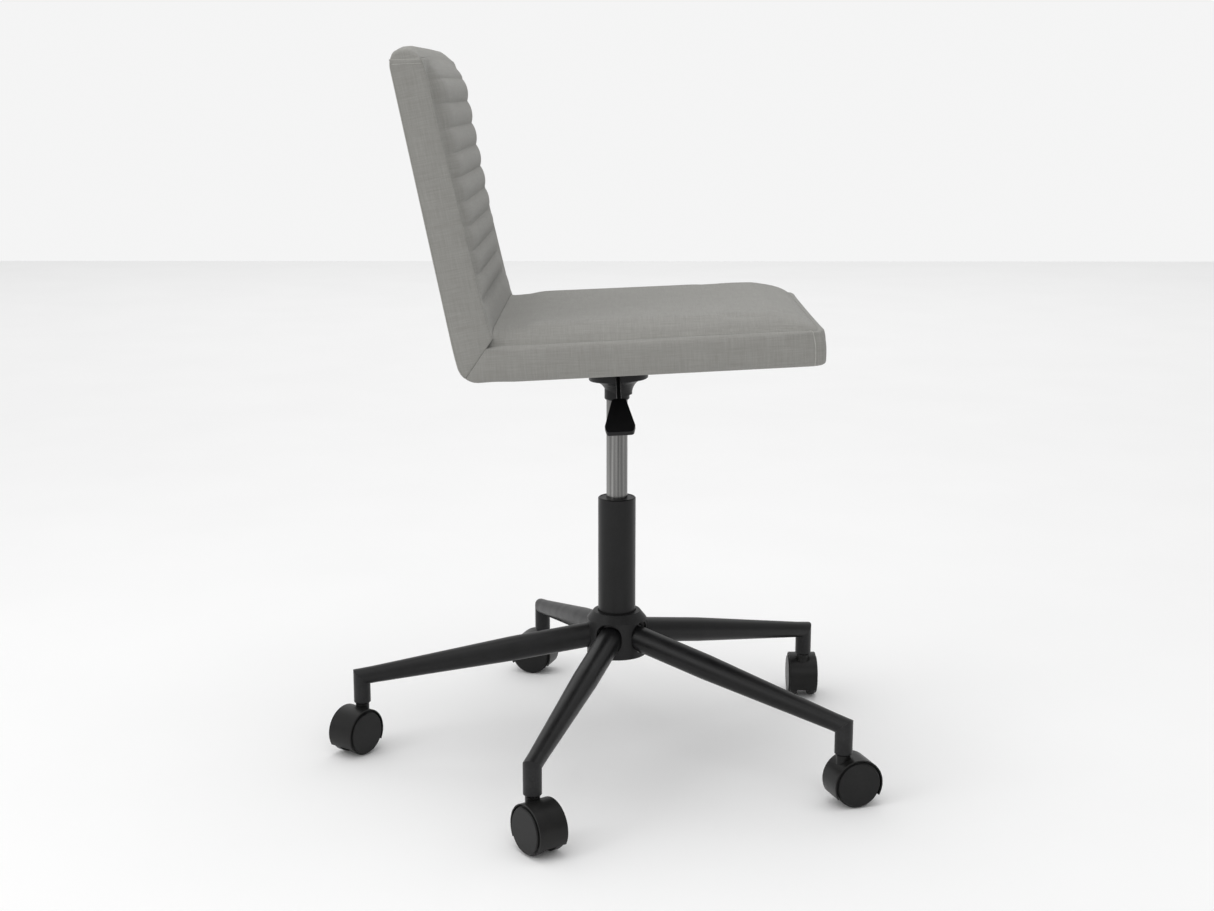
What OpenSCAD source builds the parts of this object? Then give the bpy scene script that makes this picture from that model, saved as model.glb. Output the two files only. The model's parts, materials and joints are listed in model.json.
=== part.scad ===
// Armless upholstered swivel chair on a gas lift and a caster base.
// Origin: on the floor under the column. The sitter faces -Y, +Z is up.

/* [Legs] */
// Distance from the column axis to each caster stem
leg_reach = 345; // [320:1:360]
// Direction of the first leg, counted from +X
first_leg_angle = 91.3; // [90:0.1:93]
// Height of a leg's axis where it meets the column axis
leg_root_height = 167.6; // [160:0.2:172]
// Height of a leg's axis above its caster stem
leg_tip_height = 102.6; // [100:0.2:108]
// Diameter of a leg at the hub
leg_root_d = 33.2; // [30:0.2:34]
// Diameter of a leg at its tip, and of its vertical end
leg_tip_d = 22.7; // [22:0.1:25]
// Share of a leg that keeps its root diameter
leg_straight_share = 0.41; // [0.3:0.01:0.5]
// Wall of the leg tube
leg_wall = 2; // [1.5:0.1:2.2]
// Height of the underside of the caster socket
socket_underside = 66.8; // [66:0.2:70]

/* [Hub] */
// Outer diameter of the welded hub
hub_d = 60; // [60:0.5:64]
// Underside and top of the welded hub
hub_span = [137.5, 182.5]; // [130:0.5:190]
// Outer diameter of the plastic cover
cover_d = 80; // [78:0.5:84]
// Heights of the cover: underside, foot of its chamfer, shoulder, top
cover_heights = [136, 184.5, 195, 197]; // [130:0.5:200]
// Radius of the cover's shoulder
cover_shoulder_r = 31.5; // [30:0.5:34]
// Wall of the cover
cover_wall = 2.5; // [2:0.1:3]

/* [Gas lift] */
// Outer diameter of the column tube
column_d = 50; // [49:0.5:51]
// Underside and top of the column tube
column_span = [138, 350.7]; // [138:0.1:352]
// Diameter of the pressure tube
tube_d = 28; // [27.5:0.1:28.5]
// Underside and top of the pressure tube, raised
tube_span = [282, 527]; // [280:1:530]
// Travel of the seat
stroke = 120; // [80:1:120]
// Diameter of the piston rod
rod_d = 10; // [9:0.5:10]
// Underside and top of the piston
piston_span = [296, 304]; // [294:1:310]

/* [Seat] */
// Width of the seat and of the back
seat_w = 430; // [400:5:460]
// Height of the seat's underside on the column axis
seat_underside = 546.4; // [540:0.2:550]
// Rise of the seat towards its front edge, in degrees
seat_rise = 3.04; // [2:0.01:4]
// From the column axis to the front face, along the seat
seat_front = 238; // [220:1:245]
// Height of the seat's side boxing
boxing_h = 43.5; // [40:0.5:48]
// Height of the seat's crown above its boxing
seat_crown = 17; // [10:0.5:20]
// Radius of the rounded corner below the back
heel_r = 25; // [20:1:30]

/* [Back] */
// Y and Z of the corner where the back's rear face meets the seat's underside
heel = [184.9, 536.6]; // [180:0.1:540]
// Y and Z of the corner where the back's front face meets the seat
lap = [147.4, 590.9]; // [140:0.1:600]
// Lean of the back's rear face, in degrees
back_lean = 11.5; // [10:0.1:14]
// Length of the rear face up to its top seam
back_rear_h = 384.5; // [380:0.5:388]
// Length of the front face up to its top seam
back_front_h = 378; // [374:0.5:382]
// Thickness of the back at its foot and at its top seam
back_thick = [48.7, 39.6]; // [36:0.1:52]
// Height of the rounded top above the seam
back_crown = 13; // [8:0.5:16]

/* [Release lever] */
// Distance from the column axis to the lever's pivot
lever_pivot_x = 32; // [31:0.5:34]
// Distance from the column axis to the lever's bend
lever_bend_x = 58; // [56:1:60]
// Slope of the handle below the seat plane, in degrees
lever_slope = 33; // [30:1:36]
// Distance along the handle from the bend to the paddle's ends
paddle_span = [68, 128]; // [60:1:130]
// Width of the paddle at its root and at its wide end
paddle_w = [18.5, 37.5]; // [16:0.5:40]

/* [Casters] */
// Radius of a wheel
wheel_r = 30; // [28:0.5:30.5]
// Width over both wheels
caster_w = 42.6; // [40:0.2:44]
// Distance from the stem axis to the axle
trail = 13.6; // [12:0.2:15]
// Turn of each axle from its leg's direction, in degrees
caster_turn = -37; // [-60:1:60]
// Outer radius of the hood
hood_r = 32.5; // [32:0.1:33.5]
// Diameter of the caster stem
stem_d = 11; // [10:0.5:11]

/* [Hidden] */
$fn = 64;
leg_count = 5;
big = 900;
running_gap = 0.05;
seat_gap = 0.02;

// legs
leg_slope = atan((leg_root_height - leg_tip_height) / leg_reach);
leg_length = leg_reach / cos(leg_slope);
leg_straight = leg_straight_share * leg_length;
leg_plain_end = 16;
leg_taper_end = leg_length - leg_plain_end;
mitre_overrun = 40;
mitre_angle = (90 - leg_slope) / 2;
socket_flange_h = 2;
leg_end_low = socket_underside + socket_flange_h;
socket_top = 92;
socket_groove = [82.3, 85.7];
stem_ring = [83, 85];
stem_ring_r = stem_d / 2 + 0.4;
weld_gap = 0.05;

// hub and column
taper_foot_r = column_d / 2 - 1.1;
taper_top = 190;
column_bore_r = 22;
collar_gap = 0.8;
arch_gap = 0.9;
cover_foot = 6.4;
bushing_r = 23;
bushing_low = 268;
plate_span = [141.5, 146];
race_h = 1.6;
ball_r = 1.6;
ball_ring_r = 6.7;
ball_count = 10;
race_r = 9.5;
journal_r = 4;
lower_race_low = plate_span[1];
balls_low = lower_race_low + race_h;
upper_race_low = balls_low + 2 * ball_r;
rod_shoulder = upper_race_low + race_h;
rod_low = 138.6;
clip_span = [140.4, 141.4];
clip_groove_r = 3.2;
clip_r = 7;
clip_mouth = 4;

// pressure tube
tube_r = tube_d / 2;
tube_bore_r = tube_r - 1.5;
tube_taper_low = 484;
tube_top_r = tube_r - 0.7;
gland_top = tube_span[0] + 10;
valve_room = 38;
valve_body_low = piston_span[1] + stroke + valve_room;
valve_pin_r = 4;
valve_pin_span = [484, 533];
valve_pin_bore_low = 480;

// mounting pan under the seat, in the seat's own frame
pan_depth = 25;
pan_half = [45, 60];
pan_wall = 2.5;
flange_half = [80, 95];
bolt_at = [67, 80];
bolt_r = 2.97;
bolt_hole_r = 3.3;
bolt_head_h = 4;
bolt_head_r = 5.77;
socket_low = 482;
socket_r = 16.5;
socket_flange_r = 39;
socket_flange_t = 12.4;
flare_r = 20.5;

// lever, in the seat's own frame
lever_z = -9.1;
lever_r = 3;
lever_nose_r = 3.7;
lever_nose_w = 8;
lever_boss_r = 6;
lever_boss_w = 12;
lever_pin_r = 3;
lever_bore = 40;
lever_slot = 5.5;
ear_t = 2.5;
ear_half_w = 8;
ear_half_gap = 6.3;
paddle_t = 6;
paddle_round = 4;
paddle_taper = 11;
lip_r = 4;
lip_inset = 9;
rod_in_paddle = 24;

// panels and cushions, in the frames of the seat and of the back
skirt = 9;
cloth_t = 1;
panel_t = 12;
panel_top = cloth_t + panel_t;
panel_rear = 160;
back_panel = [-18, -6];
back_panel_span = [22, 372];
bracket_x = 120;
bracket_w = 30;
bracket_t = 3;
bracket_front = 70;
bracket_high = 130;
screw_r = 2;
screw_head_r = 4.2;
screw_head_h = 2;
screw_land = 0.1;
screw_length = 11;
seat_screws_y = [85, 125];
back_screws_z = [70, 110];
tnut_flange = [9, 1.5];
tnut_barrel = [4.5, 9];
thread_gap = 0.03;
crown_inset = 55;
top_inset = 25;
top_depth = [8, 5];
front_swell = 3;
mitre_turn = atan2(heel[0] - lap[0], lap[1] - heel[1]);
bend = back_lean - seat_rise;
heel_in_seat = turned(-seat_rise, heel[0], heel[1] - seat_underside);

// casters
wheel_gap_half = 7.3;
web_half = 7;
hood_wall = 1.7;
hood_half_w = 19.3;
hood_open = 30;
axle_r = 3;
axle_half = 18;
axle_boss_r = 8;
web_r = 31;
web_low = -9;
tread_end = 18.4;
tread_wall = 4;
rim_recess = 3;
rim_bevel = 0.7;
disc_bevel = 1.2;
axle_clear = 0.3;
disc_r = 28;
stem_boss_r = 9;
stem_boss_top = 65.4;
stem_low = 38;
stem_top = 90;

caster_names = ["caster_stem_", "caster_hood_", "caster_axle_", "wheel_a_", "wheel_b_"];
LEGS = [for (k = [1 : leg_count]) str("leg_", k)];
CASTERS = [for (k = [1 : leg_count]) for (n = caster_names) str(n, k)];

// ---- helpers ----

// The span of a length centred on a place
function about(place, half) = [place - half, place + half];

module tube(r_out, r_in, span) {
    translate([0, 0, span[0]]) difference() {
        cylinder(r = r_out, h = span[1] - span[0]);
        translate([0, 0, -1]) cylinder(r = r_in, h = span[1] - span[0] + 2);
    }
}

module rod(r, span) {
    translate([0, 0, span[0]]) cylinder(r = r, h = span[1] - span[0]);
}

// [Y, Z] turned backwards by an angle, and points in the frames of the seat and of the back
function turned(angle, y, z) = [y * cos(angle) + z * sin(angle), z * cos(angle) - y * sin(angle)];
function on_seat(y, z) = [0, seat_underside] + turned(seat_rise, y, z);
function on_back(y, z) = heel + turned(back_lean, y, z);

module seat_frame() {
    translate([0, 0, seat_underside]) rotate([-seat_rise, 0, 0]) children();
}

module back_frame() {
    translate([0, heel[0], heel[1]]) rotate([-back_lean, 0, 0]) children();
}

module block(x, y, z) {
    translate([x[0], y[0], z[0]]) cube([x[1] - x[0], y[1] - y[0], z[1] - z[0]]);
}

module at_corners(p) {
    for (x = [-p[0], p[0]], y = [-p[1], p[1]]) translate([x, y, 0]) children();
}

module each_leg() {
    for (k = [0 : leg_count - 1]) on_leg(k) children();
}

module on_leg(k) {
    rotate([0, 0, first_leg_angle + 360 / leg_count * k]) children();
}

// ---- legs and caster sockets ----

module leg_run(inset, past_end) {
    root_r = leg_root_d / 2 - inset;
    tip_r = leg_tip_d / 2 - inset;
    translate([0, 0, leg_root_height]) rotate([0, 90 + leg_slope, 0]) {
        cylinder(r = root_r, h = leg_straight);
        translate([0, 0, leg_straight])
            cylinder(r1 = root_r, r2 = tip_r, h = leg_taper_end - leg_straight);
        if (past_end > 0) translate([0, 0, leg_taper_end]) cylinder(r = tip_r, h = past_end);
    }
}

// Half of space on one side of the mitre between a leg and its vertical end
module mitre(side) {
    translate([leg_reach, 0, leg_tip_height]) rotate([0, -mitre_angle, 0])
        translate([-big / 2, -big / 2, side > 0 ? weld_gap : -big]) cube(big);
}

module leg_end() {
    translate([leg_reach, 0, 0]) rod(leg_tip_d / 2, [leg_end_low, leg_tip_height + mitre_overrun]);
}

module leg(k) {
    color("#26272a") on_leg(k) {
        difference() {
            intersection() {
                leg_run(0, mitre_overrun);
                mitre(1);
            }
            leg_run(leg_wall, 0);
            cylinder(r = hub_d / 2 + weld_gap, h = big);
        }
        difference() {
            intersection() {
                leg_end();
                mitre(-1);
            }
            translate([leg_reach, 0, 0])
                rod(leg_tip_d / 2 - leg_wall, [leg_end_low - 1, socket_top + 0.5]);
        }
    }
}

module caster_sockets() {
    inner_r = leg_tip_d / 2 - leg_wall - seat_gap;
    flange_r = leg_tip_d / 2;
    bore_r = stem_d / 2 + running_gap;
    color("#1c1d1f") each_leg() translate([leg_reach, 0, 0]) difference() {
        union() {
            rotate_extrude() polygon([
                [0, socket_underside], [flange_r - 1, socket_underside],
                [flange_r, socket_underside + 1], [flange_r, leg_end_low], [0, leg_end_low]
            ]);
            rod(inner_r, [leg_end_low - 0.5, socket_top]);
        }
        rod(bore_r, [socket_underside - 1, socket_top + 1]);
        rod(stem_ring_r + 0.3, socket_groove);
    }
}

// ---- hub ----

module column_taper(gap) {
    translate([0, 0, column_span[0]])
        cylinder(r1 = taper_foot_r + gap, r2 = column_d / 2 + gap, h = taper_top - column_span[0]);
}

module hub_tube() {
    color("#26272a") difference() {
        rod(hub_d / 2, hub_span);
        column_taper(seat_gap);
        rod(taper_foot_r + seat_gap, [hub_span[0] - 1, column_span[0] + 0.5]);
    }
}

module cover_outline(inset) {
    r = cover_d / 2 - inset;
    h = cover_heights;
    polygon([
        [0, h[0] - (inset > 0 ? 1 : 0)], [r, h[0] - (inset > 0 ? 1 : 0)], [r, h[1] - inset / 2],
        [cover_shoulder_r - inset / 2, h[2] - inset], [0, h[3] - inset]
    ]);
}

// The opening a leg passes through, cut outwards from inside the cover
module leg_opening() {
    r = leg_root_d / 2 + arch_gap;
    top = cover_heights[1] - r;
    foot = cover_heights[0] + cover_foot + r;
    translate([cover_shoulder_r, 0, 0]) rotate([90, 0, 90]) linear_extrude(cover_d)
        polygon(concat(
            [for (a = [0 : 7.5 : 180]) [r * cos(a), top + r * sin(a)]],
            [for (a = [180 : 7.5 : 360]) [r * cos(a), foot + r * sin(a)]]
        ));
}

module hub_cover() {
    color("#1c1d1f") difference() {
        rotate_extrude() cover_outline(0);
        rotate_extrude() cover_outline(cover_wall);
        rod(column_d / 2 + collar_gap, [cover_heights[1], cover_heights[3] + 1]);
        each_leg() leg_opening();
    }
}

// ---- column and gas lift ----

module column_tube() {
    r = column_d / 2;
    chamfer = 1.2;
    color("#26272a") difference() {
        union() {
            column_taper(0);
            rotate_extrude() polygon([
                [0, taper_top], [r, taper_top], [r, column_span[1] - chamfer],
                [r - chamfer, column_span[1]], [0, column_span[1]]
            ]);
        }
        rod(column_bore_r, [column_span[0] - 1, bushing_low]);
        rod(bushing_r, [bushing_low, column_span[1] + 1]);
    }
}

module column_bushing() {
    color("#1c1d1f")
        tube(bushing_r - seat_gap, tube_r + running_gap, [bushing_low, column_span[1] - 0.5]);
}

module column_plate() {
    color("silver") tube(column_bore_r - seat_gap, journal_r + running_gap, plate_span);
}

module bearing_lower_race() {
    color("silver")
        tube(race_r, journal_r + 0.3, [lower_race_low, lower_race_low + race_h]);
}

module bearing_balls() {
    color("silver") for (k = [0 : ball_count - 1])
        rotate([0, 0, 360 / ball_count * k])
            translate([ball_ring_r, 0, balls_low + ball_r]) sphere(r = ball_r - seat_gap, $fn = 24);
}

module bearing_upper_race() {
    color("silver")
        tube(race_r, journal_r + seat_gap, [upper_race_low, upper_race_low + race_h]);
}

module piston_rod() {
    color("silver") difference() {
        union() {
            rod(rod_d / 2, [rod_shoulder, piston_span[1]]);
            rod(journal_r, [rod_low, rod_shoulder]);
        }
        tube(rod_d, clip_groove_r, [clip_span[0] - 0.1, clip_span[1] + 0.1]);
    }
}

module piston() {
    color("gray") tube(tube_bore_r - running_gap, rod_d / 2 + seat_gap, piston_span);
}

module rod_clip() {
    color("dimgray") difference() {
        tube(clip_r, clip_groove_r + running_gap, clip_span);
        block([0, clip_r + 1], about(0, clip_mouth / 2), [clip_span[0] - 1, clip_span[1] + 1]);
    }
}

module tube_outside(gap) {
    rod(tube_r + gap, [tube_span[0], tube_taper_low]);
    translate([0, 0, tube_taper_low])
        cylinder(r1 = tube_r + gap, r2 = tube_top_r + gap, h = tube_span[1] - tube_taper_low);
}

module pressure_tube() {
    color("gainsboro") difference() {
        tube_outside(0);
        rod(tube_bore_r, [tube_span[0] - 1, tube_span[1] + 1]);
    }
}

module tube_gland() {
    color("#1c1d1f")
        tube(tube_bore_r - seat_gap, rod_d / 2 + running_gap, [tube_span[0], gland_top]);
}

module valve_body() {
    color("goldenrod") difference() {
        rod(tube_bore_r - seat_gap, [valve_body_low, tube_span[1]]);
        rod(valve_pin_r + running_gap, [valve_pin_bore_low, tube_span[1] + 1]);
    }
}

module valve_pin() {
    color("silver") {
        rod(valve_pin_r, [valve_pin_span[0], valve_pin_span[1] - 1]);
        translate([0, 0, valve_pin_span[1] - 1])
            cylinder(r1 = valve_pin_r, r2 = valve_pin_r - 1, h = 1);
    }
}

// ---- mounting pan, socket and lever ----

module pan() {
    ear_x = about(-lever_pivot_x, ear_half_w);
    difference() {
        union() {
            difference() {
                union() {
                    block([-flange_half[0], flange_half[0]], [-flange_half[1], flange_half[1]],
                        [-pan_wall, 0]);
                    block([-pan_half[0], pan_half[0]], [-pan_half[1], pan_half[1]],
                        [-pan_depth, 0]);
                }
                block([-pan_half[0] + pan_wall, pan_half[0] - pan_wall],
                    [-pan_half[1] + pan_wall, pan_half[1] - pan_wall],
                    [-pan_depth + pan_wall, 1]);
            }
            for (side = [-1, 1])
                block(ear_x, about(side * (ear_half_gap + ear_t / 2), ear_t / 2),
                    [-pan_depth + 1, -2]);
        }
        at_corners(bolt_at) rod(bolt_hole_r, [-pan_wall - 1, 1]);
        translate([-lever_pivot_x, 0, lever_z]) rotate([90, 0, 0])
            cylinder(r = lever_pin_r + seat_gap, h = lever_bore, center = true);
        block([-pan_half[0] - 1, -pan_half[0] + pan_wall + 1], [-lever_slot, lever_slot],
            [lever_z - lever_slot, -pan_wall]);
    }
}

module seat_plate() {
    color("#26272a") difference() {
        seat_frame() pan();
        rod(socket_r + collar_gap, [socket_low, tube_span[1] + 1]);
    }
}

module socket_outline() {
    top = -pan_depth - seat_gap;
    fillet_z = top - socket_flange_t - flare_r;
    fillet_r = socket_r + 0.4;
    rim = socket_flange_r;
    arc = [for (a = [180 : -10 : 90]) [
        fillet_r + flare_r + flare_r * cos(a), fillet_z + flare_r * sin(a)
    ]];
    polygon(concat([[0, fillet_z]], arc, [
        [rim - 1, top - socket_flange_t], [rim, top - socket_flange_t + 1], [rim, top], [0, top]
    ]));
}

module taper_socket() {
    foot_round = 1.5;
    color("#26272a") difference() {
        union() {
            rotate_extrude() polygon([
                [0, socket_low], [socket_r - foot_round, socket_low],
                [socket_r, socket_low + foot_round], [socket_r, tube_span[1] - 1],
                [0, tube_span[1] - 1]
            ]);
            seat_frame() rotate_extrude() socket_outline();
        }
        tube_outside(seat_gap);
    }
}

module lever_pin() {
    color("silver") seat_frame() translate([-lever_pivot_x, 0, lever_z]) rotate([90, 0, 0])
        cylinder(r = lever_pin_r, h = 2 * (ear_half_gap + ear_t) + 3, center = true);
}

// Places children at the lever's bend, with +X along the handle
module handle_frame() {
    seat_frame() translate([-lever_bend_x, 0, lever_z]) rotate([0, 0, 180])
        rotate([0, lever_slope, 0]) children();
}

module lever_rod() {
    color("#202124") difference() {
        union() {
            seat_frame() translate([0, 0, lever_z]) {
                rotate([0, -90, 0]) cylinder(r = lever_r, h = lever_bend_x);
                rotate([90, 0, 0]) cylinder(r = lever_nose_r, h = lever_nose_w, center = true);
                translate([-lever_pivot_x, 0, 0]) rotate([90, 0, 0])
                    cylinder(r = lever_boss_r, h = lever_boss_w, center = true);
                translate([-lever_bend_x, 0, 0]) sphere(r = lever_r + 0.3);
            }
            handle_frame() rotate([0, 90, 0])
                cylinder(r = lever_r, h = paddle_span[0] + rod_in_paddle);
        }
        seat_frame() translate([-lever_pivot_x, 0, lever_z]) rotate([90, 0, 0])
            cylinder(r = lever_pin_r + running_gap, h = lever_bore, center = true);
    }
}

module lever_paddle() {
    r = paddle_round;
    wide_at = paddle_span[1] - paddle_taper;
    color("#161719") handle_frame() difference() {
        union() {
            translate([0, 0, -paddle_t / 2]) linear_extrude(paddle_t) hull() {
                for (s = [-1, 1]) {
                    translate([paddle_span[0] + r, s * (paddle_w[0] / 2 - r)]) circle(r, $fn = 32);
                    translate([wide_at, s * (paddle_w[1] / 2 - r)]) circle(r, $fn = 32);
                    translate([paddle_span[1] - r, s * (paddle_w[1] / 2 - r - 1.5)])
                        circle(r, $fn = 32);
                }
            }
            translate([paddle_span[1] - lip_inset, 0, -paddle_t / 2]) rotate([90, 0, 0])
                cylinder(r = lip_r, h = paddle_w[1] - lip_inset - 1, center = true);
        }
        rotate([0, 90, 0])
            cylinder(r = lever_r + seat_gap, h = paddle_span[0] + rod_in_paddle);
    }
}

module plate_bolts() {
    color("dimgray") seat_frame() at_corners(bolt_at) {
        rod(bolt_r, [-pan_wall - 0.5, panel_top]);
        translate([0, 0, -pan_wall - bolt_head_h])
            cylinder(r = bolt_head_r, h = bolt_head_h, $fn = 6);
    }
}

module tnut_outside(gap) {
    rod(tnut_barrel[0] + gap, [panel_top - tnut_barrel[1], panel_top]);
    rod(tnut_flange[0] + gap, [panel_top - tnut_flange[1], panel_top]);
}

module t_nuts() {
    color("silver") seat_frame() at_corners(bolt_at) difference() {
        tnut_outside(0);
        rod(bolt_r + thread_gap, [0, panel_top + 1]);
    }
}

// ---- panels ----

module seat_board() {
    half = seat_w / 2 - skirt;
    color("burlywood") seat_frame() difference() {
        block([-half, half], [-seat_front + skirt, panel_rear], [cloth_t, panel_top]);
        at_corners(bolt_at) {
            tnut_outside(seat_gap);
            rod(bolt_hole_r, [0, panel_top]);
        }
        seat_screws(seat_gap);
    }
}

module back_board() {
    half = seat_w / 2 - skirt;
    color("burlywood") back_frame() difference() {
        block([-half, half], back_panel, back_panel_span);
        back_screws(seat_gap);
    }
}

module dust_cover() {
    half = seat_w / 2 - 2 * skirt;
    color("#1c1d1f") seat_frame() difference() {
        block([-half, half], [-seat_front + 2 * skirt, panel_rear - skirt], [0, cloth_t]);
        at_corners(bolt_at) rod(bolt_hole_r, [-1, cloth_t + 1]);
    }
}

// A countersunk screw with its head's top at the origin, pointing down
module screw(gap) {
    shank = screw_r + gap;
    head = screw_head_r + gap;
    rotate_extrude() polygon([
        [0, -screw_length], [shank, -screw_length], [shank, -screw_head_h],
        [head, -screw_land], [head, gap], [0, gap]
    ]);
}

module seat_screws(gap) {
    for (x = [-bracket_x, bracket_x], y = seat_screws_y)
        translate([x, y, panel_top + bracket_t]) screw(gap);
}

module back_screws(gap) {
    for (x = [-bracket_x, bracket_x], z = back_screws_z)
        translate([x, back_panel[0] - bracket_t, z]) rotate([90, 0, 0]) screw(gap);
}

// Height along the back's frame at which its plane at depth y meets the seat's plane at height z
function meeting(y, z) = (z - heel_in_seat[1] + y * sin(bend)) / cos(bend);

module bracket_outside() {
    inner = back_panel[0] - bracket_t;
    outer = back_panel[0];
    top = panel_top + bracket_t;
    for (x = [-bracket_x, bracket_x]) translate([x, 0, 0]) rotate([90, 0, 90])
        linear_extrude(bracket_w, center = true) polygon([
            on_seat(bracket_front, panel_top), on_seat(bracket_front, top),
            on_back(inner, meeting(inner, top)), on_back(inner, bracket_high),
            on_back(outer, bracket_high), on_back(outer, meeting(outer, panel_top))
        ]);
}

module frame_brackets() {
    color("gray") difference() {
        bracket_outside();
        seat_frame() seat_screws(seat_gap);
        back_frame() back_screws(seat_gap);
    }
}

module bracket_screws() {
    color("goldenrod") {
        seat_frame() seat_screws(0);
        back_frame() back_screws(0);
    }
}

// ---- cushions ----

// Half of space on one side of the sloping seam between seat and back
module lap_side(side) {
    translate([0, heel[0], heel[1]]) rotate([mitre_turn, 0, 0])
        translate([-big / 2, side > 0 ? 0 : -big, -big / 2]) cube(big);
}

module heel_round() {
    rotate([0, 90, 0]) cylinder(r = heel_r, h = seat_w, center = true, $fn = 32);
}

module seat_block() {
    half = seat_w / 2;
    heel_y = heel[0] / cos(seat_rise) - heel_r / tan((90 + bend) / 2);
    crown_y = [-seat_front + crown_inset, lap[0]];
    hull() {
        block([-half, half], [-seat_front, heel_y], [0, boxing_h]);
        block([-half + crown_inset, half - crown_inset], crown_y,
            [boxing_h, boxing_h + seat_crown]);
        translate([0, heel_y, heel_r]) heel_round();
    }
}

module seat_cushion() {
    half = seat_w / 2 - skirt;
    color("#94938d") difference() {
        intersection() {
            seat_frame() seat_block();
            lap_side(-1);
        }
        seat_frame() block([-half, half], [-seat_front + skirt, panel_rear], [-1, panel_top]);
        bracket_outside();
    }
}

module back_outline() {
    polygon([
        [-back_thick[0], 0], [0, heel_r], [0, back_rear_h],
        [-back_thick[1], back_front_h]
    ]);
}

module back_block() {
    half = seat_w / 2;
    heel_z = heel_r / tan((90 + bend) / 2);
    top = back_rear_h + back_crown;
    hull() {
        rotate([90, 0, 90]) translate([0, 0, -half]) linear_extrude(seat_w) back_outline();
        translate([0, -heel_r, heel_z]) heel_round();
        block([-half + top_inset, half - top_inset],
            [-back_thick[1] + top_depth[1], -top_depth[0]], [back_front_h, top]);
        block([-half + crown_inset, half - crown_inset],
            [-back_thick[0] - front_swell, -back_thick[1]],
            [crown_inset * 2, back_front_h - crown_inset]);
    }
}

module back_cushion() {
    half = seat_w / 2 - skirt;
    color("#9a9993") difference() {
        intersection() {
            back_frame() back_block();
            lap_side(1);
        }
        back_frame() block([-half, half], back_panel, [-heel_r, back_panel_span[1]]);
        bracket_outside();
    }
}

// ---- casters ----

// Places children at a caster's stem, on the floor, with +X along its axle
module caster_frame(k) {
    on_leg(k) translate([leg_reach, 0, 0]) rotate([0, 0, caster_turn]) children();
}

// Places children at the axle's middle, with +Z along the axle
module axle_frame() {
    translate([0, trail, wheel_r]) rotate([0, 90, 0]) children();
}

module caster_stem(k) {
    color("silver") caster_frame(k) {
        rod(stem_d / 2, [stem_low, stem_top - 1]);
        rod(stem_ring_r, stem_ring);
        translate([0, 0, stem_top - 1])
            cylinder(r1 = stem_d / 2, r2 = stem_d / 2 - 1, h = 1);
    }
}

module hood_sector() {
    reach = 2 * hood_r;
    translate([0, trail, wheel_r]) rotate([90, 0, 90]) linear_extrude(caster_w + 2, center = true)
        polygon([
            [0, 0], [reach * cos(hood_open), -reach * sin(hood_open)],
            [reach, -reach], [-reach, -reach],
            [-reach * cos(hood_open), -reach * sin(hood_open)]
        ]);
}

module caster_hood(k) {
    inner_r = hood_r - hood_wall;
    color("#1c1d1f") caster_frame(k) difference() {
        union() {
            difference() {
                axle_frame() cylinder(r = hood_r, h = 2 * hood_half_w, center = true);
                hood_sector();
            }
            rod(stem_boss_r, [wheel_r, stem_boss_top]);
            axle_frame() cylinder(r = axle_boss_r, h = 2 * web_half, center = true);
            intersection() {
                axle_frame() cylinder(r = web_r, h = 2 * web_half, center = true);
                block(about(0, web_half), about(trail, web_r), [wheel_r + web_low, wheel_r + web_r]);
            }
        }
        for (side = [-1, 1]) axle_frame()
            translate([0, 0, side > 0 ? web_half : -web_half - caster_w])
                cylinder(r = inner_r, h = caster_w);
        axle_frame() cylinder(r = axle_r + seat_gap, h = caster_w, center = true);
        rod(stem_d / 2 + seat_gap, [stem_low, stem_boss_top + 1]);
    }
}

module caster_axle(k) {
    color("silver") caster_frame(k) axle_frame()
        cylinder(r = axle_r, h = 2 * axle_half, center = true);
}

// Half section of a wheel: [radius, distance from the caster's middle plane]
module wheel_section() {
    edge = caster_w / 2;
    bore = axle_r + running_gap;
    polygon([
        [bore, wheel_gap_half], [axle_boss_r, wheel_gap_half],
        [axle_boss_r, tread_end - rim_recess], [wheel_r - tread_wall, tread_end - rim_recess],
        [wheel_r - tread_wall, wheel_gap_half + rim_bevel],
        [wheel_r - rim_bevel, wheel_gap_half + rim_bevel],
        [wheel_r, wheel_gap_half + 2 * rim_bevel],
        [wheel_r, tread_end - 1], [wheel_r - 1, tread_end], [disc_r, tread_end],
        [disc_r, edge - disc_bevel], [disc_r - disc_bevel, edge], [0, edge],
        [0, axle_half + axle_clear], [bore, axle_half + axle_clear]
    ]);
}

module wheel(k, side) {
    color("#18191b") caster_frame(k) axle_frame() mirror([0, 0, side])
        rotate_extrude() wheel_section();
}

// ---- assembly ----

hub_tube();
hub_cover();
for (k = [1 : leg_count]) leg(k - 1);
caster_sockets();
column_tube();
column_bushing();
column_plate();
bearing_lower_race();
bearing_balls();
bearing_upper_race();
piston_rod();
piston();
rod_clip();
pressure_tube();
tube_gland();
valve_body();
valve_pin();
seat_plate();
taper_socket();
lever_pin();
lever_rod();
lever_paddle();
plate_bolts();
t_nuts();
seat_board();
back_board();
frame_brackets();
bracket_screws();
seat_cushion();
back_cushion();
dust_cover();
for (k = [1 : leg_count]) caster_stem(k - 1);
for (k = [1 : leg_count]) caster_hood(k - 1);
for (k = [1 : leg_count]) caster_axle(k - 1);
for (k = [1 : leg_count]) wheel(k - 1, 0);
for (k = [1 : leg_count]) wheel(k - 1, 1);
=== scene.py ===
"""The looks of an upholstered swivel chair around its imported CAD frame, in metres and its axes."""

import json
import math

import bpy
import numpy as np
from mathutils import Matrix, Vector


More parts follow.
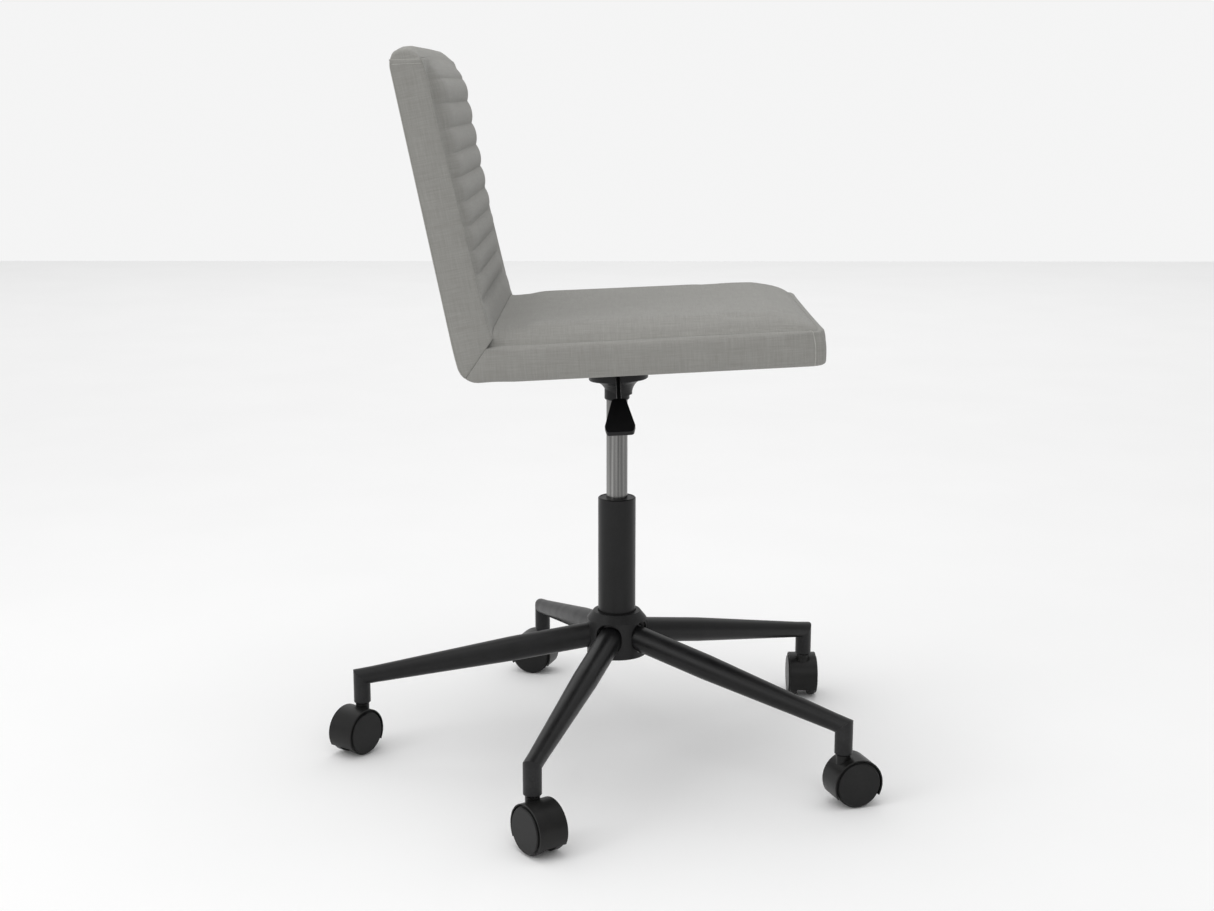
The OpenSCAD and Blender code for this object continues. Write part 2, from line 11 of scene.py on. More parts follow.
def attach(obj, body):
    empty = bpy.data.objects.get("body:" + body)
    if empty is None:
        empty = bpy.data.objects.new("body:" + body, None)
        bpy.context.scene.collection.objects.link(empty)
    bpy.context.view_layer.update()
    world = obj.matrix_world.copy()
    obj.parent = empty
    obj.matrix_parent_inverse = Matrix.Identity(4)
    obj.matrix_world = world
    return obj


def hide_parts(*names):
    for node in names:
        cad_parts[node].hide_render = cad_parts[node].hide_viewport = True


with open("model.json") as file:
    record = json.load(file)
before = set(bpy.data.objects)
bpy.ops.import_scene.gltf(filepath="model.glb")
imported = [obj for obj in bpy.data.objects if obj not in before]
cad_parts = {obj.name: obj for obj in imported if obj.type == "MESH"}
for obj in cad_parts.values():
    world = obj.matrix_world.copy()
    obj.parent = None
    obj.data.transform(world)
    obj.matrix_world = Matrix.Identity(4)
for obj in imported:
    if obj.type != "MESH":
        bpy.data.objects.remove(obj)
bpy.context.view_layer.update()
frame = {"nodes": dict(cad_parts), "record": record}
NODES = frame["nodes"]
MM = 0.001


# ---- camera ----


def add_camera():
    """From the sitter's right, a little above the seat and level from side to side."""
    turn, down = math.radians(0.328), math.radians(11.645)
    forward = Vector(
        (
            math.cos(turn) * math.cos(down),
            math.sin(turn) * math.cos(down),
            -math.sin(down),
        )
    )
    data = bpy.data.cameras.new("view")
    data.lens, data.sensor_width = 52.75, 36.0
    camera = bpy.data.objects.new("view", data)
    bpy.context.scene.collection.objects.link(camera)
    camera.location = (-2.3028, 0.0, 0.8810)
    camera.rotation_mode = "QUATERNION"
    camera.rotation_quaternion = forward.to_track_quat("-Z", "Y")
    bpy.context.scene.camera = camera


# ---- materials ----


class Nodes:
    """Short calls for building one material's node tree."""

    def __init__(self, name):
        self.material = bpy.data.materials.new(name)
        self.material.use_nodes = True
        self.tree = self.material.node_tree
        self.shader = self.tree.nodes["Principled BSDF"]

    def add(self, kind, **values):
        node = self.tree.nodes.new(kind)
        for key, value in values.items():
            setattr(node, key, value)
        return node

    def link(self, out, into):
        self.tree.links.new(out, into)

    def set(self, **values):
        for key, value in values.items():
            self.shader.inputs[key.replace("_", " ")].default_value = value

    def math(self, operation, a, b=None, clamp=False):
        node = self.add("ShaderNodeMath", operation=operation, use_clamp=clamp)
        for socket, value in zip(node.inputs, (a, b)):
            if value is None:
                continue
            if isinstance(value, (int, float)):
                socket.default_value = value
            else:
                self.link(value, socket)
        return node.outputs[0]

    def noise(self, vector, scale, detail=2.0, rough=0.5):
        node = self.add("ShaderNodeTexNoise")
        node.inputs["Scale"].default_value = scale
        node.inputs["Detail"].default_value = detail
        node.inputs["Roughness"].default_value = rough
        if vector is not None:
            self.link(vector, node.inputs["Vector"])
        return node.outputs["Fac"]

    def stretched(self, vector, scale):
        node = self.add("ShaderNodeMapping")
        node.inputs["Scale"].default_value = scale
        self.link(vector, node.inputs["Vector"])
        return node.outputs["Vector"]

    def ramp(self, value, stops):
        node = self.add("ShaderNodeValToRGB")
        ramp = node.color_ramp
        while len(ramp.elements) < len(stops):
            ramp.elements.new(0.5)
        for element, (place, colour) in zip(ramp.elements, stops):
            element.position = place
            element.color = (*colour, 1)
        self.link(value, node.inputs["Fac"])
        return node.outputs["Color"]

    def bump(self, height, strength, distance, after=None):
        node = self.add("ShaderNodeBump")
        node.inputs["Strength"].default_value = strength
        node.inputs["Distance"].default_value = distance
        self.link(height, node.inputs["Height"])
        if after is not None:
            self.link(after, node.inputs["Normal"])
        return node.outputs["Normal"]

    def object_place(self):
        return self.add("ShaderNodeTexCoord").outputs["Object"]


def weave_place(n):
    """A place on the cloth in metres: across, along, and which of its box's sides it is on."""
    coord = n.add("ShaderNodeTexCoord")
    place = n.add("ShaderNodeSeparateXYZ")
    normal = n.add("ShaderNodeSeparateXYZ")
    n.link(coord.outputs["Object"], place.inputs[0])
    n.link(coord.outputs["Normal"], normal.inputs[0])
    x, y, z = place.outputs
    nx, ny, nz = (n.math("ABSOLUTE", s) for s in normal.outputs)
    faces_x = n.math(
        "MULTIPLY", n.math("GREATER_THAN", nx, ny), n.math("GREATER_THAN", nx, nz)
    )
    faces_z = n.math(
        "MULTIPLY",
        n.math("GREATER_THAN", nz, ny),
        n.math("SUBTRACT", 1.0, faces_x),
    )
    across = n.math(
        "ADD",
        n.math("MULTIPLY", y, faces_x),
        n.math("MULTIPLY", x, n.math("SUBTRACT", 1.0, faces_x)),
    )
    along = n.math(
        "ADD",
        n.math("MULTIPLY", y, faces_z),
        n.math("MULTIPLY", z, n.math("SUBTRACT", 1.0, faces_z)),
    )
    both = n.add("ShaderNodeCombineXYZ")
    n.link(across, both.inputs[0])
    n.link(along, both.inputs[1])
    n.link(n.math("ADD", faces_x, n.math("MULTIPLY", faces_z, 2.0)), both.inputs[2])
    return both.outputs[0]


def grey_fabric():
    """A matt plain weave of heathered grey yarn, with slubs both ways."""
    n = Nodes("grey_fabric")
    place = weave_place(n)
    warp = n.noise(n.stretched(place, (700, 38, 50)), 1.0, 3.0, 0.6)
    weft = n.noise(n.stretched(place, (38, 700, 50)), 1.0, 3.0, 0.6)
    slub_a = n.noise(n.stretched(place, (210, 16, 20)), 1.0, 2.0)
    slub_b = n.noise(n.stretched(place, (16, 210, 20)), 1.0, 2.0)
    mottle = n.noise(n.object_place(), 26, 3.0)
    threads = n.math("MULTIPLY", n.math("ADD", warp, weft), 0.5)
    slubs = n.math("MULTIPLY", n.math("ADD", slub_a, slub_b), 0.5)
    tone = n.math(
        "ADD",
        n.math("MULTIPLY", threads, 0.62),
        n.math("ADD", n.math("MULTIPLY", slubs, 0.30), n.math("MULTIPLY", mottle, 0.08)),
    )
    colour = n.ramp(
        tone,
        [
            (0.34, (0.236, 0.232, 0.216)),
            (0.50, (0.276, 0.272, 0.255)),
            (0.66, (0.318, 0.314, 0.296)),
        ],
    )
    n.link(colour, n.shader.inputs["Base Color"])
    grid = n.add("ShaderNodeSeparateXYZ")
    n.link(place, grid.inputs[0])
    pitch = 2 * math.pi / 0.00115
    over = n.math("SINE", n.math("MULTIPLY", grid.outputs[0], pitch))
    under = n.math("SINE", n.math("MULTIPLY", grid.outputs[1], pitch))
    weave = n.math("MULTIPLY", over, under)
    height = n.math(
        "ADD", n.math("MULTIPLY", weave, 0.35), n.math("MULTIPLY", threads, 1.6)
    )
    normal = n.bump(height, 0.55, 0.00035)
    normal = n.bump(slubs, 0.35, 0.0009, normal)
    n.link(normal, n.shader.inputs["Normal"])
    rough = n.ramp(threads, [(0.3, (0.97,) * 3), (0.7, (0.86,) * 3)])
    n.link(rough, n.shader.inputs["Roughness"])
    n.set(Specular_IOR_Level=0.22, Sheen_Weight=0.16, Sheen_Roughness=0.5)
    return n.material


def fabric_thread():
    """The sewing thread, a little lighter than the cloth."""
    n = Nodes("grey_thread")
    twist = n.noise(n.stretched(n.object_place(), (900, 900, 900)), 1.0, 2.0)
    n.link(
        n.ramp(twist, [(0.35, (0.33, 0.325, 0.305)), (0.65, (0.42, 0.414, 0.39))]),
        n.shader.inputs["Base Color"],
    )
    n.link(n.bump(twist, 0.4, 0.0002), n.shader.inputs["Normal"])
    n.set(Roughness=0.8, Specular_IOR_Level=0.3)
    return n.material


def black_cloth():
    n = Nodes("black_cloth")
    fibre = n.noise(n.object_place(), 900, 4.0, 0.7)
    spots = n.noise(n.object_place(), 260, 2.0)
    n.link(
        n.ramp(fibre, [(0.3, (0.008, 0.008, 0.009)), (0.7, (0.032, 0.032, 0.034))]),
        n.shader.inputs["Base Color"],
    )
    n.link(n.bump(n.math("ADD", fibre, spots), 0.5, 0.0004), n.shader.inputs["Normal"])
    n.set(Roughness=0.92, Specular_IOR_Level=0.25)
    return n.material


def plywood():
    n = Nodes("plywood")
    place = n.object_place()
    grain = n.noise(n.stretched(place, (12, 160, 160)), 1.0, 5.0, 0.6)
    ply = n.noise(n.stretched(place, (3, 3, 420)), 1.0, 1.0)
    mix = n.math("ADD", n.math("MULTIPLY", grain, 0.65), n.math("MULTIPLY", ply, 0.35))
    n.link(
        n.ramp(
            mix,
            [
                (0.3, (0.33, 0.20, 0.10)),
                (0.5, (0.55, 0.38, 0.22)),
                (0.7, (0.70, 0.53, 0.34)),
            ],
        ),
        n.shader.inputs["Base Color"],
    )
    n.link(n.bump(grain, 0.3, 0.0004), n.shader.inputs["Normal"])
    n.set(Roughness=0.72)
    return n.material


def painted(name, low, high, rough, pebble, depth, worn=0.0, specular=0.5):
    """Satin paint or moulded plastic: a fine pebble, uneven gloss, and paler rubbed edges."""
    n = Nodes(name)
    place = n.object_place()
    cloud = n.noise(place, 34, 4.0, 0.6)
    fine = n.noise(place, pebble, 3.0, 0.55)
    dust = n.noise(place, 420, 3.0, 0.7)
    tone = n.math("ADD", n.math("MULTIPLY", cloud, 0.6), n.math("MULTIPLY", dust, 0.4))
    if worn:
        edge = n.add("ShaderNodeNewGeometry").outputs["Pointiness"]
        rub = n.math("MULTIPLY", n.math("SUBTRACT", edge, 0.53), worn * 8, clamp=True)
        tone = n.math("ADD", tone, n.math("MULTIPLY", rub, cloud))
    n.link(
        n.ramp(tone, [(0.32, low), (0.68, high), (0.95, tuple(2.2 * c for c in high))]),
        n.shader.inputs["Base Color"],
    )
    gloss = n.math(
        "ADD",
        n.math("MULTIPLY", n.math("SUBTRACT", cloud, 0.5), 0.22),
        n.math("MULTIPLY", n.math("SUBTRACT", dust, 0.5), 0.10),
    )
    n.link(n.math("ADD", gloss, rough), n.shader.inputs["Roughness"])
    n.link(n.bump(fine, 0.35, depth), n.shader.inputs["Normal"])
    n.set(Specular_IOR_Level=specular)
    return n.material


def metal(name, colour, rough, scratch, streak=(400, 400, 12), depth=0.00008):
    """Bare metal with drawn or turned marks along one axis."""
    n = Nodes(name)
    place = n.object_place()
    marks = n.noise(n.stretched(place, streak), 1.0, 4.0, 0.6)
    cloud = n.noise(place, 40, 3.0)
    shade = n.math(
        "ADD", n.math("MULTIPLY", marks, scratch), n.math("MULTIPLY", cloud, 0.3)
    )
    dark = tuple(0.72 * c for c in colour)
    n.link(
        n.ramp(shade, [(0.1, dark), (0.75, colour)]),
        n.shader.inputs["Base Color"],
    )
    n.link(
        n.math(
            "ADD",
            n.math("MULTIPLY", n.math("SUBTRACT", marks, 0.5), 0.25 * scratch),
            rough,
        ),
        n.shader.inputs["Roughness"],
    )
    n.link(n.bump(marks, 0.25, depth), n.shader.inputs["Normal"])
    n.set(Metallic=1.0)
    return n.material


def drawn_tube():
    """A drawn steel tube: broad bands of painted reflection and fine drawn lines that run up it."""
    n = Nodes("bright_tube")
    place = n.add("ShaderNodeSeparateXYZ")
    n.link(n.object_place(), place.inputs[0])
    angle = n.math("ARCTAN2", place.outputs[1], place.outputs[0])
    around = n.add("ShaderNodeCombineXYZ")
    n.link(n.math("COSINE", angle), around.inputs[0])
    n.link(n.math("SINE", angle), around.inputs[1])
    n.link(n.math("MULTIPLY", place.outputs[2], 0.8), around.inputs[2])
    # broad pale and dark bands round the tube: painted reflections of the softboxes, put into the
    # base colour
    painted_reflection_bands = n.noise(around.outputs[0], 3.4, 2.0, 0.5)
    lines = n.noise(n.stretched(around.outputs[0], (46, 46, 3)), 1.0, 3.0, 0.6)
    tone = n.math("ADD", n.math("MULTIPLY", painted_reflection_bands, 0.6), n.math("MULTIPLY", lines, 0.4))
    n.link(
        n.ramp(
            tone,
            [
                (0.34, (0.10, 0.10, 0.098)),
                (0.50, (0.22, 0.218, 0.213)),
                (0.66, (0.40, 0.396, 0.388)),
            ],
        ),
        n.shader.inputs["Base Color"],
    )
    n.link(n.ramp(lines, [(0.3, (0.2,) * 3), (0.7, (0.32,) * 3)]), n.shader.inputs["Roughness"])
    n.link(n.bump(lines, 0.2, 0.00006), n.shader.inputs["Normal"])
    n.set(Metallic=1.0)
    return n.material


def make_materials():
    return {
        "grey_fabric": grey_fabric(),
        "black_cloth": black_cloth(),
        "plywood": plywood(),
        "black_steel": painted(
            "black_steel", (0.006, 0.006, 0.006), (0.011, 0.011, 0.0115),
            0.36, 1500, 0.00007, worn=0.5, specular=0.26,
        ),
        "zinc_steel": metal("zinc_steel", (0.60, 0.61, 0.63), 0.34, 0.5, (150, 150, 150)),
        "bearing_steel": metal("bearing_steel", (0.66, 0.66, 0.68), 0.2, 0.4),
        "bright_tube": drawn_tube(),
        "brass": metal("brass", (0.78, 0.57, 0.27), 0.28, 0.5),
        "black_plastic": painted(
            "black_plastic", (0.008, 0.008, 0.008), (0.014, 0.014, 0.0145),
            0.40, 2100, 0.0001, specular=0.26,
        ),
        "caster_plastic": painted(
            "caster_plastic", (0.006, 0.006, 0.0058), (0.011, 0.0108, 0.0105),
            0.36, 2300, 0.00006, specular=0.24,
        ),
        "wheel_plastic": painted(
            "wheel_plastic", (0.006, 0.006, 0.006), (0.011, 0.011, 0.011),
            0.38, 2300, 0.00006, worn=0.4, specular=0.24,
        ),
        "paddle_plastic": painted(
            "paddle_plastic", (0.006, 0.006, 0.0062), (0.011, 0.011, 0.0115),
            0.42, 1900, 0.0001, specular=0.26,
        ),
    }


def dress_cad(materials):
    """Every CAD node takes the material of its slot in the record."""
    for part in frame["record"]["subparts"]:
        node = NODES[part["node"]]
        if not node.material_slots:
            node.data.materials.append(None)
        for slot in node.material_slots:
            slot.link = "OBJECT"
            slot.material = materials[part["material_slot"]]


# ---- cushions ----

# Lengths here are millimetres in the seat's or the back's own frame, until MM makes them metres.
HALF = 215.0
HEEL_R = 25.0
LEAN, RISE = math.radians(11.5), math.radians(3.04)
BEND = LEAN - RISE
HEEL_Y = 185.2
HEEL_HALF = (math.pi / 2 - BEND) / 2
HEEL_RUN = HEEL_R * math.tan(HEEL_HALF)
HEEL_ARC = HEEL_R * HEEL_HALF
FAR = 1e6

# the seat: its outline, its rounded edges, and how far its panels and seams stand out or in
SEAT_FRONT = -238.0
SEAT_RUN = 390.0
BOXING = 43.5
SEAT_CORNER = (151.6, 43.5)
COVER_REAR, COVER_INSET, COVER_ROOM = 151.0, 18.0, 2.6
PLAN_ROUND, PLAN_ROUND_TOP = 15.0, 26.0
TOP_ROUND, BOTTOM_ROUND, HEEL_ROUND = 3.2, 4.5, 1.5
SEAT_CROWN, CROWN_AT_BACK, CROWN_FALL = 19.0, 0.68, 0.0075
LAP_CROWN = 9.4
MITRE_RUN, MITRE_HIGH = -0.70, 9.2
CORNER_DIP = 1.6
FRONT_FILL, FRONT_BELLY, FRONT_ARCH = 11.4, 1.2, 0.2
SIDE_BELLY = 0.6
HEM_DROP = 1.7
MITRE_SEAM, TOP_SEAM, CORNER_SEAM = 1.1, 0.7, 0.8
CORNER_SEAM_AT = 9.5

# the back: its outline, its channels, and how far its panels and seams stand out or in
BACK_LAP = (-47.6, 45.7)
BACK_FRONT_TOP = (-39.6, 378.1)
BACK_REAR_TOP = 384.5
BACK_THICK = 42.0
FRONT_BOW = ((0, 0.06, 0.6, 0.85, 1), (0, 2.6, 3.0, 3.4, 1.6))
FIRST_CHANNEL, CHANNEL_PITCH = 91.0, 29.3
CHANNELS = FIRST_CHANNEL + CHANNEL_PITCH * np.arange(10)
CHANNEL_STEPS = (0, 0.03, 0.08, 0.16, 0.28, 0.42, 0.58, 0.72, 0.84, 0.92, 0.97)
CHANNEL_DEPTH = 3.6
RIB_STARTS = ((70, 86, 120, 378), (4, 10, 40, 44))
RIB_CREST = ((70, 100, 190, 250, 340), (50.2, 51.4, 54.2, 55.4, 56.8))
RIB_END = 38.0
BORDER_DIP = 4.4
BACK_SIDE_BELLY, FRONT_DRAWN, REAR_DRAWN = 0.8, 0.9, 1.1
CAP_RISE, CAP_CROWN, CAP_PEAK, CAP_TAPER = 11.9, 5.0, 0.6, 2.4
TOP_CORNER_ROUND = 2.4
REAR_PAD, REAR_FILL = 2.2, 1.3
# rounded lengths of its panels, for what fades out along them
REAR_RUN, FRONT_RUN, MITRE_LENGTH = 380.0, 332.0, 340.0
# how many grid columns the seam round each front top corner runs over
CORNER_COLUMNS = 12

WELT_SPACING = 1.2
WELT_PINCH = 0.35
WELT_ASIDE = (0.31, 0.62, 0.72)


def frame_matrix(lean, y, z):
    return Matrix.Translation((0, y * MM, z * MM)) @ Matrix.Rotation(-lean, 4, "X")


SEAT_FRAME = frame_matrix(RISE, 0, 546.4)
BACK_FRAME = frame_matrix(LEAN, 184.9, 536.6)


def smooth(t):
    """Eases from 0 at t = 0 to 1 at t = 1."""
    t = np.clip(t, 0, 1)
    return t * t * (3 - 2 * t)


def quarter(t):
    """A quarter circle: 0 at t = 0 with an upright start, 1 from t = 1."""
    return np.sqrt(np.clip(1 - (1 - np.clip(t, 0, 1)) ** 2, 0, 1))


def dome(distance, reach, power):
    """Rises from 0 at an edge to 1 at reach from it, steeply at first."""
    return 1 - (1 - np.clip(distance / reach, 0, 1)) ** power


def fade(distance, reach):
    """Falls off from 1 at an edge, by a factor of e over each reach."""
    return np.exp(-distance / reach)


def spaced(length, fine, coarse, edge):
    """Distances from 0 to length, close together within edge of both ends."""
    ends = [0.0]
    step = fine
    while ends[-1] + step < edge:
        ends.append(ends[-1] + step)
        step = min(step * 1.35, coarse)
    count = max(2, round((length - 2 * ends[-1]) / coarse))
    middle = np.linspace(ends[-1], length - ends[-1], count + 1)[1:-1]
    return np.concatenate([ends, middle, length - np.array(ends[::-1])])


def box_grid(xs, vs, ws):
    """The skin of a box of grid lines: its points, its quads, and the grid of point numbers."""
    shape = (len(xs), len(vs), len(ws))
    inside = np.zeros(shape, bool)
    inside[1:-1, 1:-1, 1:-1] = True
    number = np.full(shape, -1)
    number[~inside] = np.arange((~inside).sum())
    i, j, k = np.nonzero(~inside)
    points = np.stack([np.array(xs)[i], np.array(vs)[j], np.array(ws)[k]], 1)

    def quads(grid, flip):
        a, b, c, d = grid[:-1, :-1], grid[1:, :-1], grid[1:, 1:], grid[:-1, 1:]
        rows = np.stack([a, b, c, d] if not flip else [a, d, c, b], -1)
        return rows.reshape(-1, 4)

    faces = np.concatenate(
        [
            quads(number[:, :, 0], True),
            quads(number[:, :, -1], False),
            quads(number[:, 0, :], False),
            quads(number[:, -1, :], True),
            quads(number[0, :, :], True),
            quads(number[-1, :, :], False),
        ]
    )
    return points, faces, number


def outward(verts, faces):
    """The faces turned so that their normals point out of the closed skin."""
    a, b, c = (verts[faces[:, n]] for n in (0, 1, 2))
    volume = np.einsum("ij,ij->i", a - verts.mean(0), np.cross(b - a, c - a)).sum()
    return faces if volume > 0 else faces[:, ::-1]


def mesh_object(name, verts, faces, matrix):
    mesh = bpy.data.meshes.new(name)
    mesh.from_pydata(np.asarray(verts).tolist(), [], [[int(n) for n in face] for face in faces])
    mesh.validate()
    mesh.shade_smooth()
    piece = bpy.data.objects.new(name, mesh)
    bpy.context.scene.collection.objects.link(piece)
    piece.matrix_world = matrix
    return piece


def rounded(point, inner, radius):
    """Rounds a box's edges: each point is brought onto an ellipsoid around the inner box."""
    core = np.clip(point, inner[0], inner[1])
    off = (point - core) / radius
    most = np.abs(off).max(1, keepdims=True)
    length = np.linalg.norm(off, axis=1, keepdims=True)
    scale = np.where(length > 1e-9, most / np.maximum(length, 1e-9), 1)
    return core + off * scale * radius


def heel_curve(run):
    """How far along the straight and off it the skin is, run from the middle of the heel."""
    turn = np.clip(run / HEEL_R, 0, HEEL_HALF) + (math.pi / 2 - HEEL_HALF)
    past = np.maximum(run - HEEL_ARC, 0)
    return HEEL_RUN - HEEL_R * np.cos(turn) + past, HEEL_R * (1 - np.sin(turn))


def seat_shape(p):
    """The seat's skin, from x, the share of the run to the front, and the share of the height."""
    x, v, w = p.T
    side = HALF - np.abs(x)
    run = v * SEAT_RUN
    along, low_z = heel_curve(v * (HEEL_ARC - HEEL_RUN + HEEL_Y - SEAT_FRONT))
    low_y = HEEL_Y - along
    top_y = SEAT_CORNER[0] + (SEAT_FRONT - SEAT_CORNER[0]) * v
    y = low_y + (top_y - low_y) * w
    z = low_z * (1 - w) + BOXING * w
    ahead = y - SEAT_FRONT
    behind = np.maximum(SEAT_CORNER[0] - y, 0)
    flat = np.stack([x, y, z], 1)
    far = np.full(len(x), FAR)
    # upper edges, and front corners that are rounder towards the top
    bend = PLAN_ROUND + (PLAN_ROUND_TOP - PLAN_ROUND) * smooth((z / BOXING - 0.5) / 0.5)
    high = rounded(
        flat,
        (
            np.stack([-HALF + bend, SEAT_FRONT + bend, -far], 1),
            np.stack([HALF - bend, far, np.full(len(x), BOXING - TOP_ROUND)], 1),
        ),
        np.stack([bend, bend, np.full(len(x), TOP_ROUND)], 1),
    )
    # lower edges and front corners
    low = rounded(
        flat,
        (
            np.array([-HALF + PLAN_ROUND, SEAT_FRONT + PLAN_ROUND, BOTTOM_ROUND]),
            np.array([HALF - PLAN_ROUND, FAR, FAR]),
        ),
        np.array([PLAN_ROUND, PLAN_ROUND, BOTTOM_ROUND]),
    )
    # lower edges near the back, where the cushion tapers round the heel
    near_heel = smooth((low_y - 100) / 30)[:, None]
    grown = smooth(run / 45)
    ease = HEEL_ROUND + np.stack(
        [(PLAN_ROUND - HEEL_ROUND) * grown, (BOTTOM_ROUND - HEEL_ROUND) * grown], 1
    )
    core = np.stack([HALF - ease[:, 0], ease[:, 1]], 1)
    off = rounded(
        np.stack([x, w * BOXING], 1),
        (core * [-1, 1], np.stack([core[:, 0], far], 1)),
        ease,
    )
    share = off[:, 1] / BOXING
    turned = np.stack(
        [off[:, 0], low_y + (top_y - low_y) * share, low_z * (1 - share) + BOXING * share], 1
    )
    low = low * (1 - near_heel) + turned * near_heel
    out = np.where((z > BOXING / 2)[:, None], high, low)
    # the top panel's crown, lowest where it meets the back
    rise = dome(side, reach=50, power=2.3) * dome(ahead, reach=46, power=2.8)
    full = SEAT_CROWN * (CROWN_AT_BACK + (1 - CROWN_AT_BACK) * smooth(behind / 60))
    full -= CROWN_FALL * np.maximum(behind - 70, 0)
    crown = full * rise
    lap = LAP_CROWN * (1 - fade(side, reach=1.6)) * fade(behind, reach=16)
    crown += lap * (1 - 0.5 * rise)
    crown *= w > 0.999
    out[:, 2] += crown - CORNER_DIP * fade(side + ahead, reach=14) * w
    out[:, 1] += MITRE_RUN * np.minimum(crown, MITRE_HIGH) * fade(behind, reach=8)
    # the boxing swells in its middle
    belly = np.sin(math.pi * np.clip(w, 0, 1)) ** 0.8
    across = 1 - (np.abs(x) / HALF) ** 2.6
    swelling = FRONT_FILL + FRONT_BELLY * belly + FRONT_ARCH * across
    out[:, 1] -= smooth(1 - ahead / 30) * swelling
    out[:, 0] += np.sign(x) * smooth(1 - side / 12) * belly * SIDE_BELLY
    # sewn seams pull in: along the back, along the top edge, and up the front corners
    seam = MITRE_SEAM * fade(run, reach=1.8)
    seam += TOP_SEAM * fade((z - BOXING) ** 2, reach=2.5) * (v > 0.01)
    seam += CORNER_SEAM * fade((ahead - CORNER_SEAM_AT) ** 2, reach=3.0)
    out[:, 0] -= np.sign(x) * seam * (side < 12) * (w > 0.06)
    # the cloth turns under, and the dust cover hides its inner part
    out[:, 2] -= HEM_DROP * smooth(1 - w * BOXING / 8) * smooth((run - 20) / 40)
    inner = np.minimum(np.minimum(side, ahead), COVER_REAR - low_y + COVER_INSET)
    out[:, 2] += COVER_ROOM * (w < 0.001) * smooth((inner - COVER_INSET + 4) / 4)
    return out


def rib_start(z):
    """How far in from the side seam the quilted ribs begin, at a height on the back."""
    return np.interp(z, *RIB_STARTS)


def back_shape(p):
    """The back's skin, from x, the share of the height, and the share of the depth."""
    x, t, d = p.T
    side = HALF - np.abs(x)
    along, off = heel_curve(t * (HEEL_ARC - HEEL_RUN + BACK_REAR_TOP))
    front_y = BACK_LAP[0] + (BACK_FRONT_TOP[0] - BACK_LAP[0]) * t
    front_y += np.interp(t, *FRONT_BOW)
    front_z = BACK_LAP[1] + (BACK_FRONT_TOP[1] - BACK_LAP[1]) * t
    y = -off + (front_y + off) * d
    z = along + (front_z - along) * d
    out = np.stack([x, y, z], 1)
    from_front, from_rear = np.abs(front_y) * (1 - d), np.abs(front_y) * d
    on_side, on_front, on_rear, on_top = side < 0.001, d > 0.999, d < 0.001, t > 0.999
    clear_top = smooth((1 - t) * REAR_RUN / 9)
    # side panels: full in the middle, drawn in along the front and the rear seams
    belly = np.sin(math.pi * d) ** 0.7 * smooth(t / 0.05) * smooth((1 - t) / 0.03)
    drawn = FRONT_DRAWN * fade(from_front, reach=2.5) + REAR_DRAWN * fade(from_rear, reach=2.6)
    out[:, 0] += np.where(on_side, np.sign(x) * (BACK_SIDE_BELLY * belly - drawn), 0)
    out[:, 0] -= np.where(on_side, 0, np.sign(x) * drawn * fade(side, reach=3))
    # front panel: a dished border, then ribs with round ends between sewn channels
    up = quarter((side - rib_start(z)) / RIB_END) ** 0.9
    foot = smooth((z - BACK_LAP[1] + 10) / 34)
    head = smooth((BACK_FRONT_TOP[1] - z) / 26)
    gap = np.abs(z[:, None] - CHANNELS[None, :]).min(1)
    in_rows = (z > CHANNELS[0] - CHANNEL_PITCH) & (z < CHANNELS[-1] + CHANNEL_PITCH)
    rib = np.where(in_rows, dome(gap, reach=CHANNEL_PITCH / 2, power=2.2), 1.0)
    full = np.interp(z, *RIB_CREST) + front_y
    bulge = full * up * foot * (0.12 + 0.88 * head)
    bulge -= CHANNEL_DEPTH * (1 - rib) * up * (0.4 + 0.6 * foot)
    border = -BORDER_DIP * smooth(side / 32) * foot * head
    out[:, 1] -= np.where(on_front, bulge + border, 0)
    # top boxing: arched from rear to front, full almost to its ends
    arch = 1 - (np.maximum(CAP_PEAK - d, 0) / CAP_PEAK) ** 5.5
    arch -= (np.maximum(d - CAP_PEAK, 0) / (1 - CAP_PEAK)) ** 1.8
    ends = quarter(side / 9)
    rise = CAP_RISE * ends + CAP_CROWN * smooth(side / 70)
    out[:, 2] += np.where(on_top, rise * arch, 0)
    out[:, 0] -= np.where(on_top, np.sign(x) * CAP_TAPER * arch * (1 - ends), 0)
    # the front top corners are worked round
    out[:, 1] += TOP_CORNER_ROUND * fade(side + (1 - t) * FRONT_RUN, reach=9) * d**4
    # rear panel
    lasting = smooth(t / 0.12) * clear_top
    pad = dome(side, reach=60, power=2) * lasting
    out[:, 1] += np.where(on_rear, REAR_PAD * pad + REAR_FILL * lasting, 0)
    # the seam along the seat pulls in
    out[:, 0] -= np.sign(x) * MITRE_SEAM * fade(t * MITRE_LENGTH, reach=1.8) * (side < 12)
    return out


